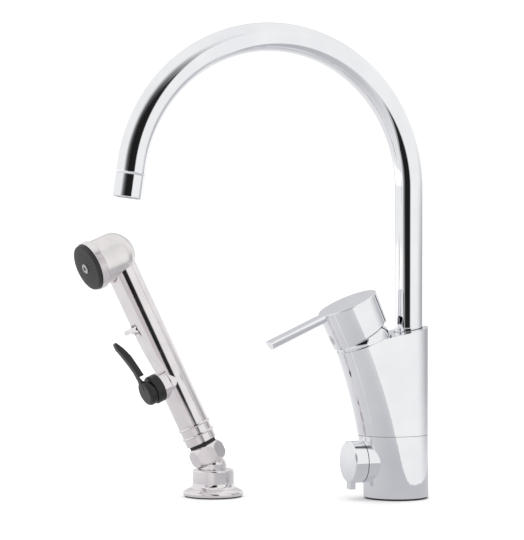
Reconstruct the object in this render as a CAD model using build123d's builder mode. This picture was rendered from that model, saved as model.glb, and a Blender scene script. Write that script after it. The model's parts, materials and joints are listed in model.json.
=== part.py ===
from build123d import *
from math import atan, cos, degrees, radians, sin, tan
import os

# A kitchen faucet set for one worktop: a single-lever mixer with a high swivel
# spout and a dishwasher shut-off valve, and a side spray that stands in its own
# deck holder. Millimetres. The origin is the centre of the mixer's foot on the
# worktop, +Z is up, and the user stands on the -Y side.
# "Forward" below is a distance towards the user, so it is minus Y.

os.makedirs("parts", exist_ok=True)

# ---------------------------------------------------------------- driving sizes
# mixer body
FOOT_R = 25.6               # radius of the round foot
BODY_TOP_R = 22.8           # half-width of the body at the cartridge housing
SEAT_FORWARD = 28.3         # centre of the cartridge seat, ahead of the foot
SEAT_Z = 123.4
SEAT_TILT = 21.5            # degrees the seat leans forward
LEAN_POWER = 1.75           # how the front leg curves forward with height
JOINT_Z = 50.0              # joint line between the two halves
JOINT_SEAL = 0.3
FOOT_SEAL = 1.2             # gasket under the foot
TOP_Z = 130.7               # sloping top face, where it crosses x = y = 0
TOP_SLOPE = 11.25
CAVITY_Z = 78.0             # ceiling of the hollow inside the body

# lever and cartridge, heights along the tilted seat axis from the seat plane
PIVOT_DOWN = 8.0            # lever's tilt axis, below the seat plane
LEVER_TILT = 24.2           # cap's axis with the water off
LIFT_RANGE = 20.0
TURN_RANGE = 45.0
CASING_R = 17.45
CASING_FLOOR = -28.5
CAP_LOW = 16.1              # cap's lower rim centre, above the pivot
CAP_TOP = 42.8
CAP_LOW_R = 23.75
CAP_TOP_R = 24.5
CAP_RIM_SLOPE = 8.5         # the rim hangs lower in front
CAP_WALL = 1.4
PIN_REACH = 73.0            # tip of the lever's pin from the cap's axis
PIN_R = 6.6                 # half-round section, flat side up

# spout
SPOUT_BACK = 11.0           # spout's axis behind the foot's centre
TUBE_R = 11.0
TUBE_WALL = 1.5
ARC_R = 116.8
ARC_Z = 244.6               # height of the arc's centre
ARC_TURN = 171.7            # degrees of arc before the straight outlet
OUTLET_Z = 236.4            # centre of the outlet's end
SLEEVE_LONG = 17.4
SOCKET_R = 10.0
SOCKET_LOW = 104.0
SOCKET_STEP = 125.0
SPOUT_SWING = 60.0

# dishwasher valve, on the front of the lower body
VALVE_Z = 29.5
KNOB_R = 16.65
COLLAR_FRONT = 31.0
KNOB_BACK = 31.3
KNOB_FRONT = 42.2

# side spray
SPRAY_X = -63.4             # centre of the spray's holder
SPRAY_Y = -131.1
LEAN_YAW = 21.1             # handle leans away from the user's side, this far towards -X
HANDLE_LEAN = 24.9          # degrees from upright
HANDLE_ROLL = 27.1          # handset turned about its own axis, its face towards +X
CROSS_Z = 23.5              # handle's axis crosses the holder's axis here
HOLDER_R = 16.4
FLANGE_R = 24.0
HOLDER_TOP = 21.4
HOLDER_SOCKET_R = 10.5
HANDLE_R = 12.5
HANDLE_BORE = 11.0
NUT_TURN = 33.0             # degrees the nut's hexagon is turned from the handset
NUT_LOW = 3.4               # stations along the handle's axis from the crossing
NUT_HIGH = 18.7
SLEEVE_LOW = 21.5
SLEEVE_HIGH = 38.0
HEAD_AT = 185.7
HEAD_R = 18.4
TRIGGER_AT = 76.0           # station of the trigger's hub
TRIGGER_OFF = 24.0          # its pivot, away from the handle's axis
TRIGGER_LONG = 47.4
TRIGGER_REST = 10.2         # degrees the trigger stands away from the handle
TRIGGER_RANGE = 20.4
PLUNGER_AT = 82.0
CATCH_AT = 125.2
CATCH_OFF = 11.5

# ---------------------------------------------------------------- shared frames
seat = Plane(
    origin=(0, -SEAT_FORWARD, SEAT_Z),
    x_dir=(1, 0, 0),
    z_dir=(0, -sin(radians(SEAT_TILT)), cos(radians(SEAT_TILT))),
)
pivot_point = seat.from_local_coords(Vector(0, 0, -PIVOT_DOWN))
cap_frame = Plane(
    origin=pivot_point,
    x_dir=(1, 0, 0),
    z_dir=(0, -sin(radians(LEVER_TILT)), cos(radians(LEVER_TILT))),
)
valve_frame = Plane(origin=(0, 0, VALVE_Z), x_dir=(1, 0, 0), z_dir=(0, -1, 0))
# side view of the spout: x forward, y up
spout_frame = Plane(origin=(0, SPOUT_BACK, 0), x_dir=(0, -1, 0), z_dir=(-1, 0, 0))
riser_frame = Plane(origin=(0, SPOUT_BACK, 0), x_dir=(1, 0, 0), z_dir=(0, 0, 1))
holder_frame = Plane(origin=(SPRAY_X, SPRAY_Y, 0), x_dir=(1, 0, 0), z_dir=(0, 0, 1))
lean_way = Vector(-sin(radians(LEAN_YAW)), -cos(radians(LEAN_YAW)), 0)
handle_up = lean_way * sin(radians(HANDLE_LEAN)) + Vector(0, 0, cos(radians(HANDLE_LEAN)))
lean_out = lean_way * cos(radians(HANDLE_LEAN)) - Vector(0, 0, sin(radians(HANDLE_LEAN)))
handle_out = lean_out * cos(radians(HANDLE_ROLL)) + handle_up.cross(lean_out) * sin(radians(HANDLE_ROLL))
# handle: x points away from the handle on the trigger's side, z runs up its axis
handle = Plane(origin=(SPRAY_X, SPRAY_Y, CROSS_Z), x_dir=handle_out, z_dir=handle_up)
# side view of the handle: x as above, y up the handle's axis
handle_side = Plane(origin=handle.origin, x_dir=handle.x_dir, z_dir=-handle.y_dir)
boss_frame = Plane(
    origin=handle.from_local_coords(Vector(0, 0, TRIGGER_AT)),
    x_dir=handle.z_dir,
    z_dir=handle.x_dir,
)
plunger_frame = Plane(
    origin=handle.from_local_coords(Vector(0, 0, PLUNGER_AT)),
    x_dir=handle.z_dir,
    z_dir=handle.x_dir,
)
head_frame = Plane(
    origin=handle.from_local_coords(Vector(0, 0, HEAD_AT)),
    x_dir=handle.y_dir,
    z_dir=handle.x_dir,
)


# ---------------------------------------------------------------- shared shapes
def turn(frame, outline, mode=Mode.ADD, arc=360.0):
    """Turn an outline of (radius, height) points about the frame's z axis."""
    side = Plane(origin=frame.origin, x_dir=frame.x_dir, z_dir=-frame.y_dir)
    with BuildSketch(side) as profile:
        with BuildLine():
            Polyline(*outline, close=True)
        make_face()
    revolve(profile.sketch, axis=Axis(frame.origin, frame.z_dir), revolution_arc=arc, mode=mode)


def rod(frame, at, low, high, radius, mode=Mode.ADD):
    """A round bar or bore along the frame's z axis, centred at the local point (x, y)."""
    with BuildSketch(frame.offset(low)) as circle:
        with Locations(at):
            Circle(radius)
    extrude(circle.sketch, amount=high - low, mode=mode)


def drill(start, end, radius, mode=Mode.SUBTRACT):
    """A round bore between two points."""
    start = Vector(*start)
    end = Vector(*end)
    with BuildSketch(Plane(origin=start, z_dir=end - start)) as circle:
        Circle(radius)
    extrude(circle.sketch, amount=(end - start).length, mode=mode)


def block(frame, low, high, mode=Mode.ADD):
    """A box between two corners, given in the frame's own x, y and z."""
    middle = ((low[0] + high[0]) / 2, (low[1] + high[1]) / 2)
    with BuildSketch(frame.offset(low[2])) as base:
        with Locations(middle):
            Rectangle(high[0] - low[0], high[1] - low[1])
    extrude(base.sketch, amount=high[2] - low[2], mode=mode)


def body_outline(z):
    """Sizes of the body's level section: an oval with round ends and straight flanks.

    The front end follows the curved leg, whose centre moves forward with a power of
    the height. The back end stays upright, so the flanks grow longer with height.
    """
    share = z / SEAT_Z
    half_width = FOOT_R - (FOOT_R - BODY_TOP_R) * share
    front = 0.4 + (SEAT_FORWARD - 0.4) * share**LEAN_POWER
    lean = (SEAT_FORWARD - 0.4) / SEAT_Z * LEAN_POWER * share ** (LEAN_POWER - 1)
    front_reach = half_width / cos(atan(lean))
    back = -(FOOT_R - half_width) * 1.1
    return half_width, front, front_reach, back


def body_section(z):
    """Draw the body's oval at one height."""
    half_width, front, front_reach, back = body_outline(z)
    with BuildSketch(Plane.XY.offset(z)) as section:
        with BuildLine():
            EllipticalCenterArc((0, -front), half_width, front_reach, 180, arc_size=180)
            Line((half_width, -front), (half_width, -back))
            CenterArc((0, -back), half_width, 0, 180)
            Line((-half_width, -back), (-half_width, -front))
        make_face()
    return section.sketch


with BuildPart() as envelope:
    loft([body_section(z) for z in (0, 25, 50, 75, 100, 125, 145)])
body_envelope = envelope.part

made = []


def keep(piece, label):
    """Name a finished piece and write it out."""
    piece.part.label = label
    export_step(piece.part, f"parts/{label}.step")
    made.append(label)


# ================================================================= mixer body
# gasket between the foot and the worktop
with BuildPart() as base_gasket:
    turn(Plane.XY, [(21.2, 0), (25.0, 0), (25.0, FOOT_SEAL), (21.2, FOOT_SEAL)])
keep(base_gasket, "base_gasket")

PLATE_R = 21.0
PLATE_LOW = 4.0
PLATE_HIGH = 14.0
CAVITY_R = 19.5
CAVITY_AHEAD = 2.5
PIPE_X = 11.0
PIPE_Y = -6.0
PIPE_R = 5.0
HEADWORK_R = 9.95

# lower half: a cast shell with the valve's collar on its front
with BuildPart() as lower_body:
    add(body_envelope)
    split(bisect_by=Plane.XY.offset(JOINT_Z - JOINT_SEAL / 2), keep=Keep.BOTTOM)
    split(bisect_by=Plane.XY.offset(FOOT_SEAL), keep=Keep.TOP)
    rod(valve_frame, (0, 0), 16.0, COLLAR_FRONT, KNOB_R)
    rod(Plane.XY, (0, 0), 0, PLATE_HIGH, PLATE_R, mode=Mode.SUBTRACT)
    rod(Plane.XY, (0, -CAVITY_AHEAD), PLATE_HIGH - 1, JOINT_Z, CAVITY_R, mode=Mode.SUBTRACT)
    rod(valve_frame, (0, 0), 0, COLLAR_FRONT, HEADWORK_R, mode=Mode.SUBTRACT)
keep(lower_body, "lower_body")

STUD_AT = (0, -15.5)
STUD_R = 3.4                # tapped M8
TAIL_R = 4.5                # tapped M10 x 1
OUTLET_X = 8.5
OUTLET_Y = 9.5

# plate in the foot: two supply threads, two outlet threads and the fixing stud's thread
with BuildPart() as connector_plate:
    rod(Plane.XY, (0, 0), PLATE_LOW, PLATE_HIGH, PLATE_R)
    for side in (-1, 1):
        rod(Plane.XY, (side * PIPE_X, PIPE_Y), PLATE_LOW, PLATE_HIGH, TAIL_R, mode=Mode.SUBTRACT)
        rod(Plane.XY, (side * PIPE_X, PIPE_Y), PLATE_HIGH - 3, PLATE_HIGH, PIPE_R, mode=Mode.SUBTRACT)
        rod(Plane.XY, (side * OUTLET_X, OUTLET_Y), PLATE_LOW, PLATE_HIGH, TAIL_R, mode=Mode.SUBTRACT)
    rod(Plane.XY, STUD_AT, PLATE_LOW, PLATE_HIGH, STUD_R, mode=Mode.SUBTRACT)
keep(connector_plate, "connector_plate")

# flat seal in the joint line, set in a little from the outer surface
with BuildPart() as body_joint_seal:
    half_width, front, front_reach, back = body_outline(JOINT_Z)
    rim = 0.7
    with BuildSketch(Plane.XY.offset(JOINT_Z - JOINT_SEAL / 2)):
        with BuildLine():
            EllipticalCenterArc((0, -front), half_width - rim, front_reach - rim, 180, arc_size=180)
            Line((half_width - rim, -front), (half_width - rim, -back))
            CenterArc((0, -back), half_width - rim, 0, 180)
            Line((rim - half_width, -back), (rim - half_width, -front))
        make_face()
        with Locations((0, -CAVITY_AHEAD)):
            Circle(CAVITY_R + 1.0, mode=Mode.SUBTRACT)
    extrude(amount=JOINT_SEAL)
keep(body_joint_seal, "body_joint_seal")

NUT_THREAD_R = 19.45
NUT_THREAD_DEEP = 9.5
CASING_BORE_R = 17.55
PORT_X = 8.0
PORT_Y = -2.0
MIX_Y = 8.0
PORT_R = 2.8
PASSAGE_Z = 88.0
COUNTER_R = 12.2
STOP_Z = 119.5

# upper half: the leaning cartridge housing in front, the spout's socket behind
with BuildPart() as upper_body:
    add(body_envelope)
    split(bisect_by=Plane.XY.offset(JOINT_Z + JOINT_SEAL / 2), keep=Keep.TOP)
    top_face = Plane(
        origin=(0, 0, TOP_Z),
        x_dir=(1, 0, 0),
        z_dir=(0, -sin(radians(TOP_SLOPE)), cos(radians(TOP_SLOPE))),
    )
    split(bisect_by=top_face, keep=Keep.BOTTOM)
    split(bisect_by=seat, keep=Keep.BOTTOM)
    rod(seat, (0, 0), -14, 0, BODY_TOP_R)
    # cartridge seat
    rod(seat, (0, 0), -NUT_THREAD_DEEP, 1, NUT_THREAD_R, mode=Mode.SUBTRACT)
    rod(seat, (0, 0), CASING_FLOOR - 1.5, 0, CASING_BORE_R, mode=Mode.SUBTRACT)
    # spout socket and its step
    rod(riser_frame, (0, 0), SOCKET_LOW, SOCKET_STEP, SOCKET_R, mode=Mode.SUBTRACT)
    rod(riser_frame, (0, 0), SOCKET_STEP, TOP_Z + 20, COUNTER_R, mode=Mode.SUBTRACT)
    # hollow, riser sockets and waterways
    rod(Plane.XY, (0, -CAVITY_AHEAD), JOINT_Z - 1, CAVITY_Z, CAVITY_R, mode=Mode.SUBTRACT)
    for side in (-1, 1):
        rod(Plane.XY, (side * PIPE_X, PIPE_Y), CAVITY_Z - 1, CAVITY_Z + 6, PIPE_R, mode=Mode.SUBTRACT)
        floor_port = seat.from_local_coords(Vector(side * PORT_X, PORT_Y, CASING_FLOOR - 1))
        drill((side * PIPE_X, PIPE_Y, CAVITY_Z + 4.5), floor_port, 3.2)
    rod(riser_frame, (0, 0), PASSAGE_Z - 3, SOCKET_LOW + 1, 4.0, mode=Mode.SUBTRACT)
    drill((0, SPOUT_BACK, PASSAGE_Z), (0, -8.0, PASSAGE_Z), 3.2)
    drill((0, -7.0, PASSAGE_Z - 1), seat.from_local_coords(Vector(0, MIX_Y, CASING_FLOOR - 1)), 3.2)
    # tapped hole for the spout's stop screw, from the back
    drill((0, 30, STOP_Z), (0, SPOUT_BACK + 5, STOP_Z), 2.1)
keep(upper_body, "upper_body")

# hot and cold risers between the foot plate and the upper half
with BuildPart() as supply_pipes:
    for side in (-1, 1):
        rod(Plane.XY, (side * PIPE_X, PIPE_Y), PLATE_HIGH - 3, CAVITY_Z + 5.5, PIPE_R)
    for side in (-1, 1):
        rod(Plane.XY, (side * PIPE_X, PIPE_Y), 0, CAVITY_Z + 7, PIPE_R - 0.8, mode=Mode.SUBTRACT)
keep(supply_pipes, "supply_pipes")

# ================================================================= cartridge
port_points = [(-PORT_X, PORT_Y), (PORT_X, PORT_Y), (0, MIX_Y)]

# rubber seal under the cartridge, with its three ports
with BuildPart() as cartridge_seal:
    rod(seat, (0, 0), CASING_FLOOR - 1.5, CASING_FLOOR, CASING_R)
    for point in port_points:
        rod(seat, point, CASING_FLOOR - 2, CASING_FLOOR + 1, PORT_R, mode=Mode.SUBTRACT)
keep(cartridge_seal, "cartridge_seal")

CHAMBER_R = 15.85
DISC_LOW = -25.5
DISC_HIGH = -22.5
CASING_TOP = -4.0

# cartridge casing: a cup with a ported floor and a lip that holds the rotor in
with BuildPart() as cartridge_casing:
    turn(seat, [
        (0, CASING_FLOOR), (CASING_R, CASING_FLOOR), (CASING_R, CASING_TOP),
        (13.0, CASING_TOP), (13.0, CASING_TOP - 1.5), (CHAMBER_R, CASING_TOP - 1.5),
        (CHAMBER_R, DISC_LOW), (0, DISC_LOW),
    ])
    for point in port_points:
        rod(seat, point, CASING_FLOOR - 1, DISC_LOW + 1, PORT_R, mode=Mode.SUBTRACT)
keep(cartridge_casing, "cartridge_casing")

# fixed ceramic disc
with BuildPart() as fixed_disc:
    rod(seat, (0, 0), DISC_LOW, DISC_HIGH, CHAMBER_R - 0.05)
    for point in port_points:
        rod(seat, point, DISC_LOW - 1, DISC_HIGH + 1, PORT_R, mode=Mode.SUBTRACT)
keep(fixed_disc, "fixed_disc")

BALL_DOWN = 10.6            # driving ball of the stem, below the pivot
BALL_R = 1.8
MOVING_TOP = -18.2
ball_back = BALL_DOWN * sin(radians(LEVER_TILT - SEAT_TILT))

# sliding ceramic disc with its carrier: a mixing hollow below, the ball's pocket above
with BuildPart() as moving_disc:
    rod(seat, (0, 1.6), DISC_HIGH + 0.05, MOVING_TOP, 11.5)
    rod(seat, (0, ball_back), MOVING_TOP - 2.6, MOVING_TOP + 1, BALL_R + 0.5, mode=Mode.SUBTRACT)
    block(seat, (-8.5, -4.5, DISC_HIGH), (8.5, 2.5, DISC_HIGH + 1.3), mode=Mode.SUBTRACT)
keep(moving_disc, "moving_disc")

STEM_HALF = 4.0
STEM_PIN_R = 1.5
ROTOR_LOW = -17.8

# rotor: turns in the casing and carries the stem's cross pin
with BuildPart() as cartridge_rotor:
    turn(seat, [
        (0, ROTOR_LOW), (CHAMBER_R - 0.1, ROTOR_LOW), (CHAMBER_R - 0.1, CASING_TOP - 1.6),
        (12.9, CASING_TOP - 1.6), (12.9, -2.5), (0, -2.5),
    ])
    block(seat, (-STEM_HALF - 0.15, -6.8, ROTOR_LOW - 1), (STEM_HALF + 0.15, 6.8, 0), mode=Mode.SUBTRACT)
    drill(seat.from_local_coords(Vector(-20, 0, -PIVOT_DOWN)),
          seat.from_local_coords(Vector(20, 0, -PIVOT_DOWN)), STEM_PIN_R)
keep(cartridge_rotor, "cartridge_rotor")

# steel cross pin
with BuildPart() as stem_pin:
    drill(seat.from_local_coords(Vector(-13.5, 0, -PIVOT_DOWN)),
          seat.from_local_coords(Vector(13.5, 0, -PIVOT_DOWN)), STEM_PIN_R, mode=Mode.ADD)
keep(stem_pin, "stem_pin")

STEM_TOP = 36.0

# stem: square above for the lever, a barrel on the cross pin, a ball below
with BuildPart() as cartridge_stem:
    block(cap_frame, (-STEM_HALF, -STEM_HALF, 0), (STEM_HALF, STEM_HALF, STEM_TOP))
    drill(cap_frame.from_local_coords(Vector(-STEM_HALF, 0, 0)),
          cap_frame.from_local_coords(Vector(STEM_HALF, 0, 0)), 5.0, mode=Mode.ADD)
    rod(cap_frame, (0, 0), -BALL_DOWN, 0, 1.5)
    turn(cap_frame, [(0, -8.0), (1.5, -8.0), (2.6, -3.0), (2.6, 0), (0, 0)])
    with BuildSketch(Plane(origin=cap_frame.origin, x_dir=cap_frame.x_dir, z_dir=-cap_frame.y_dir)) as half:
        with BuildLine():
            CenterArc((0, -BALL_DOWN), BALL_R, -90, 180)
            Line((0, -BALL_DOWN - BALL_R), (0, -BALL_DOWN + BALL_R))
        make_face()
    revolve(half.sketch, axis=Axis(cap_frame.origin, cap_frame.z_dir))
    drill(cap_frame.from_local_coords(Vector(-6, 0, 0)),
          cap_frame.from_local_coords(Vector(6, 0, 0)), STEM_PIN_R + 0.05)
keep(cartridge_stem, "cartridge_stem")

# threaded ring with a hexagon that clamps the casing down
with BuildPart() as cartridge_nut:
    turn(seat, [
        (17.6, -8.5), (NUT_THREAD_R - 0.05, -8.5), (NUT_THREAD_R - 0.05, 0), (14.0, 0),
        (14.0, CASING_TOP), (17.6, CASING_TOP),
    ])
    with BuildSketch(seat) as hexagon:
        RegularPolygon(15.5, 6, major_radius=False)
        Circle(14.0, mode=Mode.SUBTRACT)
    extrude(hexagon.sketch, amount=4.0)
keep(cartridge_nut, "cartridge_nut")

# chrome ring over the nut, rounded so that the cap can swing over it
with BuildPart() as dome_ring:
    with BuildSketch(Plane(origin=seat.origin, x_dir=seat.x_dir, z_dir=-seat.y_dir)) as profile:
        with BuildLine():
            Line((19.0, 0), (21.1, 0))
            Line((21.1, 0), (21.6, 0.6))
            ThreePointArc((21.6, 0.6), (21.2, 4.4), (19.5, 8.0))
            Line((19.5, 8.0), (16.4, 9.4))
            Line((16.4, 9.4), (15.9, 8.2))
            Line((15.9, 8.2), (19.0, 6.6))
            Line((19.0, 6.6), (19.0, 0))
        make_face()
    revolve(profile.sketch, axis=Axis(seat.origin, seat.z_dir))
keep(dome_ring, "dome_ring")

# ================================================================= lever
HUB_R = 9.0
SCREW_UP = 21.1             # grub screw's height above the pivot
PLUG_R = 3.75
cap_rim = Plane(
    origin=cap_frame.from_local_coords(Vector(0, 0, CAP_LOW)),
    x_dir=(1, 0, 0),
    z_dir=cap_frame.z_dir * cos(radians(CAP_RIM_SLOPE)) - cap_frame.y_dir * sin(radians(CAP_RIM_SLOPE)),
)
lever_side = Plane(origin=cap_frame.origin, x_dir=(1, 0, 0), z_dir=-cap_frame.y_dir)
cap_spread = (CAP_TOP_R - CAP_LOW_R) / (CAP_TOP - CAP_LOW)


def cap_cone(extra, low, high):
    """Outline of the cap's slightly widening wall, moved outwards by extra."""
    return [
        (0, low), (CAP_LOW_R + extra + (low - CAP_LOW) * cap_spread, low),
        (CAP_LOW_R + extra + (high - CAP_LOW) * cap_spread, high), (0, high),
    ]


# lever: a hollow cap with a hub for the stem, and a half-round pin, cast in one
with BuildPart() as lever_handle:
    turn(cap_frame, cap_cone(0, CAP_LOW - 5, CAP_TOP))
    fillet(lever_handle.faces().sort_by(Axis(cap_frame.origin, cap_frame.z_dir))[-1].edges(), 0.7)
    turn(cap_frame, cap_cone(-CAP_WALL, CAP_LOW - 6, CAP_TOP - 3), mode=Mode.SUBTRACT)
    split(bisect_by=cap_rim, keep=Keep.TOP)
    rod(cap_frame, (0, 0), CAP_LOW + 0.7, CAP_TOP - 2, HUB_R)
    block(cap_frame, (-STEM_HALF, -STEM_HALF, CAP_LOW), (STEM_HALF, STEM_HALF, STEM_TOP), mode=Mode.SUBTRACT)
    with BuildSketch(lever_side.offset(CAP_TOP_R - 2.0)) as bar:
        with BuildLine():
            CenterArc((0, CAP_TOP), PIN_R, 180, 180)
            Line((-PIN_R, CAP_TOP), (PIN_R, CAP_TOP))
        make_face()
    extrude(bar.sketch, amount=PIN_REACH - CAP_TOP_R + 2.0)
    rod(lever_side, (0, SCREW_UP), 0, 30, 2.5, mode=Mode.SUBTRACT)
    rod(lever_side, (0, SCREW_UP), CAP_LOW_R - 1.1, 30, PLUG_R + 0.05, mode=Mode.SUBTRACT)
    block(cap_frame, (-STEM_HALF, -STEM_HALF, CAP_LOW), (STEM_HALF, STEM_HALF, STEM_TOP), mode=Mode.SUBTRACT)
keep(lever_handle, "lever_handle")

# grub screw that clamps the lever on the stem
with BuildPart() as lever_screw:
    rod(lever_side, (0, SCREW_UP), STEM_HALF, HUB_R, 2.45)
    with BuildSketch(lever_side.offset(HUB_R - 2.5)) as key:
        with Locations((0, SCREW_UP)):
            RegularPolygon(1.25, 6, major_radius=False)
    extrude(key.sketch, amount=3, mode=Mode.SUBTRACT)
keep(lever_screw, "lever_screw")

# round plug over the grub screw, with the hot and cold marks
with BuildPart() as indicator_plug:
    rod(lever_side, (0, SCREW_UP), CAP_LOW_R - 1.1, 30, PLUG_R)
    turn(cap_frame, cap_cone(0.05, CAP_LOW - 5, CAP_TOP), mode=Mode.INTERSECT)
keep(indicator_plug, "indicator_plug")

# ================================================================= spout
BUSH_R = 9.9
BUSH_TOP = 140.0
TUBE_LOW = 125.3
TUBE_BORE = TUBE_R - TUBE_WALL
RING_GROOVE_R = 8.3
O_RING_R = 0.8
O_RING_ZS = (108.5, 113.0)

arc_end = radians(ARC_TURN)
outlet_start = Vector(ARC_R * (1 - cos(arc_end)), ARC_Z + ARC_R * sin(arc_end), 0)
outlet_dir = Vector(sin(arc_end), cos(arc_end), 0)
outlet_run = (outlet_start.Y - OUTLET_Z) / -outlet_dir.Y
joint_point = outlet_start + outlet_dir * (outlet_run - SLEEVE_LONG)
joint_place = spout_frame.from_local_coords(joint_point)
outlet_frame = Plane(
    origin=joint_place,
    x_dir=spout_frame.z_dir,
    z_dir=spout_frame.from_local_coords(joint_point + outlet_dir) - joint_place,
)

# plastic ring that steadies the tube in the body's top
with BuildPart() as spout_glide_ring:
    turn(riser_frame, [
        (TUBE_R + 0.06, SOCKET_STEP), (COUNTER_R, SOCKET_STEP),
        (COUNTER_R, TOP_Z - 0.6), (TUBE_R + 0.06, TOP_Z - 0.6),
    ])
keep(spout_glide_ring, "spout_glide_ring")

# brass bush in the tube's foot, with O-ring grooves and the stop groove
with BuildPart() as spout_bush:
    turn(riser_frame, [
        (6.5, SOCKET_LOW + 0.5), (BUSH_R, SOCKET_LOW + 0.5), (BUSH_R, TUBE_LOW),
        (TUBE_BORE, TUBE_LOW), (TUBE_BORE, BUSH_TOP), (6.5, BUSH_TOP),
    ])
    for ring_z in O_RING_ZS:
        turn(riser_frame, [
            (RING_GROOVE_R, ring_z - 1), (12, ring_z - 1), (12, ring_z + 1), (RING_GROOVE_R, ring_z + 1),
        ], mode=Mode.SUBTRACT)
    groove_half = SPOUT_SWING + 12
    groove_frame = Plane(
        origin=riser_frame.origin,
        x_dir=(cos(radians(90 - groove_half)), sin(radians(90 - groove_half)), 0),
        z_dir=(0, 0, 1),
    )
    turn(groove_frame, [
        (8.1, STOP_Z - 1.8), (12, STOP_Z - 1.8), (12, STOP_Z + 1.8), (8.1, STOP_Z + 1.8),
    ], mode=Mode.SUBTRACT, arc=2 * groove_half)
keep(spout_bush, "spout_bush")

# two rubber rings in the bush's grooves
with BuildPart() as spout_o_rings:
    for ring_z in O_RING_ZS:
        with BuildSketch(Plane(origin=riser_frame.origin, x_dir=(1, 0, 0), z_dir=(0, -1, 0))) as section:
            with Locations((SOCKET_R - O_RING_R - 0.05, ring_z)):
                Circle(O_RING_R)
        revolve(section.sketch, axis=Axis(riser_frame.origin, (0, 0, 1)))
keep(spout_o_rings, "spout_o_rings")

# grub screw in the body's back: its tip runs in the bush's groove and limits the swing
with BuildPart() as spout_stop_screw:
    drill((0, 25.2, STOP_Z), (0, SPOUT_BACK + SOCKET_R, STOP_Z), 2.1, mode=Mode.ADD)
    drill((0, SPOUT_BACK + SOCKET_R, STOP_Z), (0, SPOUT_BACK + 8.4, STOP_Z), 1.5, mode=Mode.ADD)
    with BuildSketch(Plane(origin=(0, 25.2, STOP_Z), x_dir=(1, 0, 0), z_dir=(0, -1, 0))) as key:
        RegularPolygon(1.25, 6, major_radius=False)
    extrude(key.sketch, amount=2.2, mode=Mode.SUBTRACT)
keep(spout_stop_screw, "spout_stop_screw")

# spout tube: a straight riser, a round arc and a short straight outlet
with BuildPart() as spout_tube:
    with BuildLine(spout_frame) as centre_line:
        Line((0, TUBE_LOW), (0, ARC_Z))
        bend = CenterArc((ARC_R, ARC_Z), ARC_R, 180, -ARC_TURN)
        Line(bend @ 1, (joint_point.X, joint_point.Y))
    with BuildSketch(Plane(origin=(0, SPOUT_BACK, TUBE_LOW), x_dir=(1, 0, 0), z_dir=(0, 0, 1))):
        Circle(TUBE_R)
        Circle(TUBE_BORE, mode=Mode.SUBTRACT)
    sweep(path=centre_line.line)
keep(spout_tube, "spout_tube")

# sleeve that screws into the outlet and holds the aerator
with BuildPart() as aerator_sleeve:
    turn(outlet_frame, [
        (7.6, -6), (TUBE_BORE, -6), (TUBE_BORE, 0), (TUBE_R - 0.25, 0), (TUBE_R, 0.25),
        (TUBE_R, SLEEVE_LONG - 0.5), (TUBE_R - 0.5, SLEEVE_LONG), (9.9, SLEEVE_LONG),
        (9.9, 6), (7.6, 6),
    ])
keep(aerator_sleeve, "aerator_sleeve")

# washer that seals the insert in its sleeve
with BuildPart() as aerator_washer:
    turn(outlet_frame, [(7.6, 6), (9.9, 6), (9.9, 7.5), (7.6, 7.5)])
keep(aerator_washer, "aerator_washer")

# plastic insert with rings of fine holes
with BuildPart() as aerator_insert:
    rod(outlet_frame, (0, 0), 7.5, SLEEVE_LONG - 1.2, 9.85)
    rod(outlet_frame, (0, 0), 7, 10.5, 7.6, mode=Mode.SUBTRACT)
    rod(outlet_frame, (0, 0), 7, 19, 0.75, mode=Mode.SUBTRACT)
    for count, ring_r in ((6, 2.4), (12, 4.8), (18, 7.2)):
        with BuildSketch(outlet_frame.offset(7)) as holes:
            with PolarLocations(ring_r, count):
                Circle(0.75)
        extrude(holes.sketch, amount=12, mode=Mode.SUBTRACT)
keep(aerator_insert, "aerator_insert")

# ================================================================= dishwasher valve
# stations along the valve's axis, from the foot's centre towards the user
SEAT_DISC_LOW = 13.0
TURN_DISC_LOW = 15.0
TURN_DISC_HIGH = 17.0
DISC_GAP = 0.03
DISC_R = 8.2
DISC_PORT_R = 2.2
NECK_TOP = 32.5
NECK_R = 5.95
SQUARE_HALF = 3.0
SQUARE_TOP = 40.8
TONGUE_HALF = 4.0

# brass headwork: a sleeve with a shoulder that keeps the spindle in
with BuildPart() as valve_headwork:
    turn(valve_frame, [
        (DISC_R, SEAT_DISC_LOW), (HEADWORK_R, SEAT_DISC_LOW), (HEADWORK_R, COLLAR_FRONT),
        (NECK_R + 0.1, COLLAR_FRONT), (NECK_R + 0.1, TURN_DISC_HIGH + 1), (DISC_R, TURN_DISC_HIGH + 1),
    ])
keep(valve_headwork, "valve_headwork")

# fixed ceramic disc with two ports
with BuildPart() as valve_seat_disc:
    rod(valve_frame, (0, 0), SEAT_DISC_LOW, TURN_DISC_LOW, DISC_R)
    for side in (-1, 1):
        rod(valve_frame, (side * 4.2, 0), SEAT_DISC_LOW - 1, TURN_DISC_LOW + 1, DISC_PORT_R,
            mode=Mode.SUBTRACT)
keep(valve_seat_disc, "valve_seat_disc")

# turning ceramic disc, its ports square to the fixed ones while the valve is shut
with BuildPart() as valve_turn_disc:
    rod(valve_frame, (0, 0), TURN_DISC_LOW + DISC_GAP, TURN_DISC_HIGH, DISC_R - 0.1)
    for side in (-1, 1):
        rod(valve_frame, (0, side * 4.6), TURN_DISC_LOW - 1, TURN_DISC_HIGH + 1, DISC_PORT_R,
            mode=Mode.SUBTRACT)
    block(valve_frame, (-TONGUE_HALF, -1, TURN_DISC_HIGH - 1), (TONGUE_HALF, 1, TURN_DISC_HIGH + 1),
          mode=Mode.SUBTRACT)
keep(valve_turn_disc, "valve_turn_disc")

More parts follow.
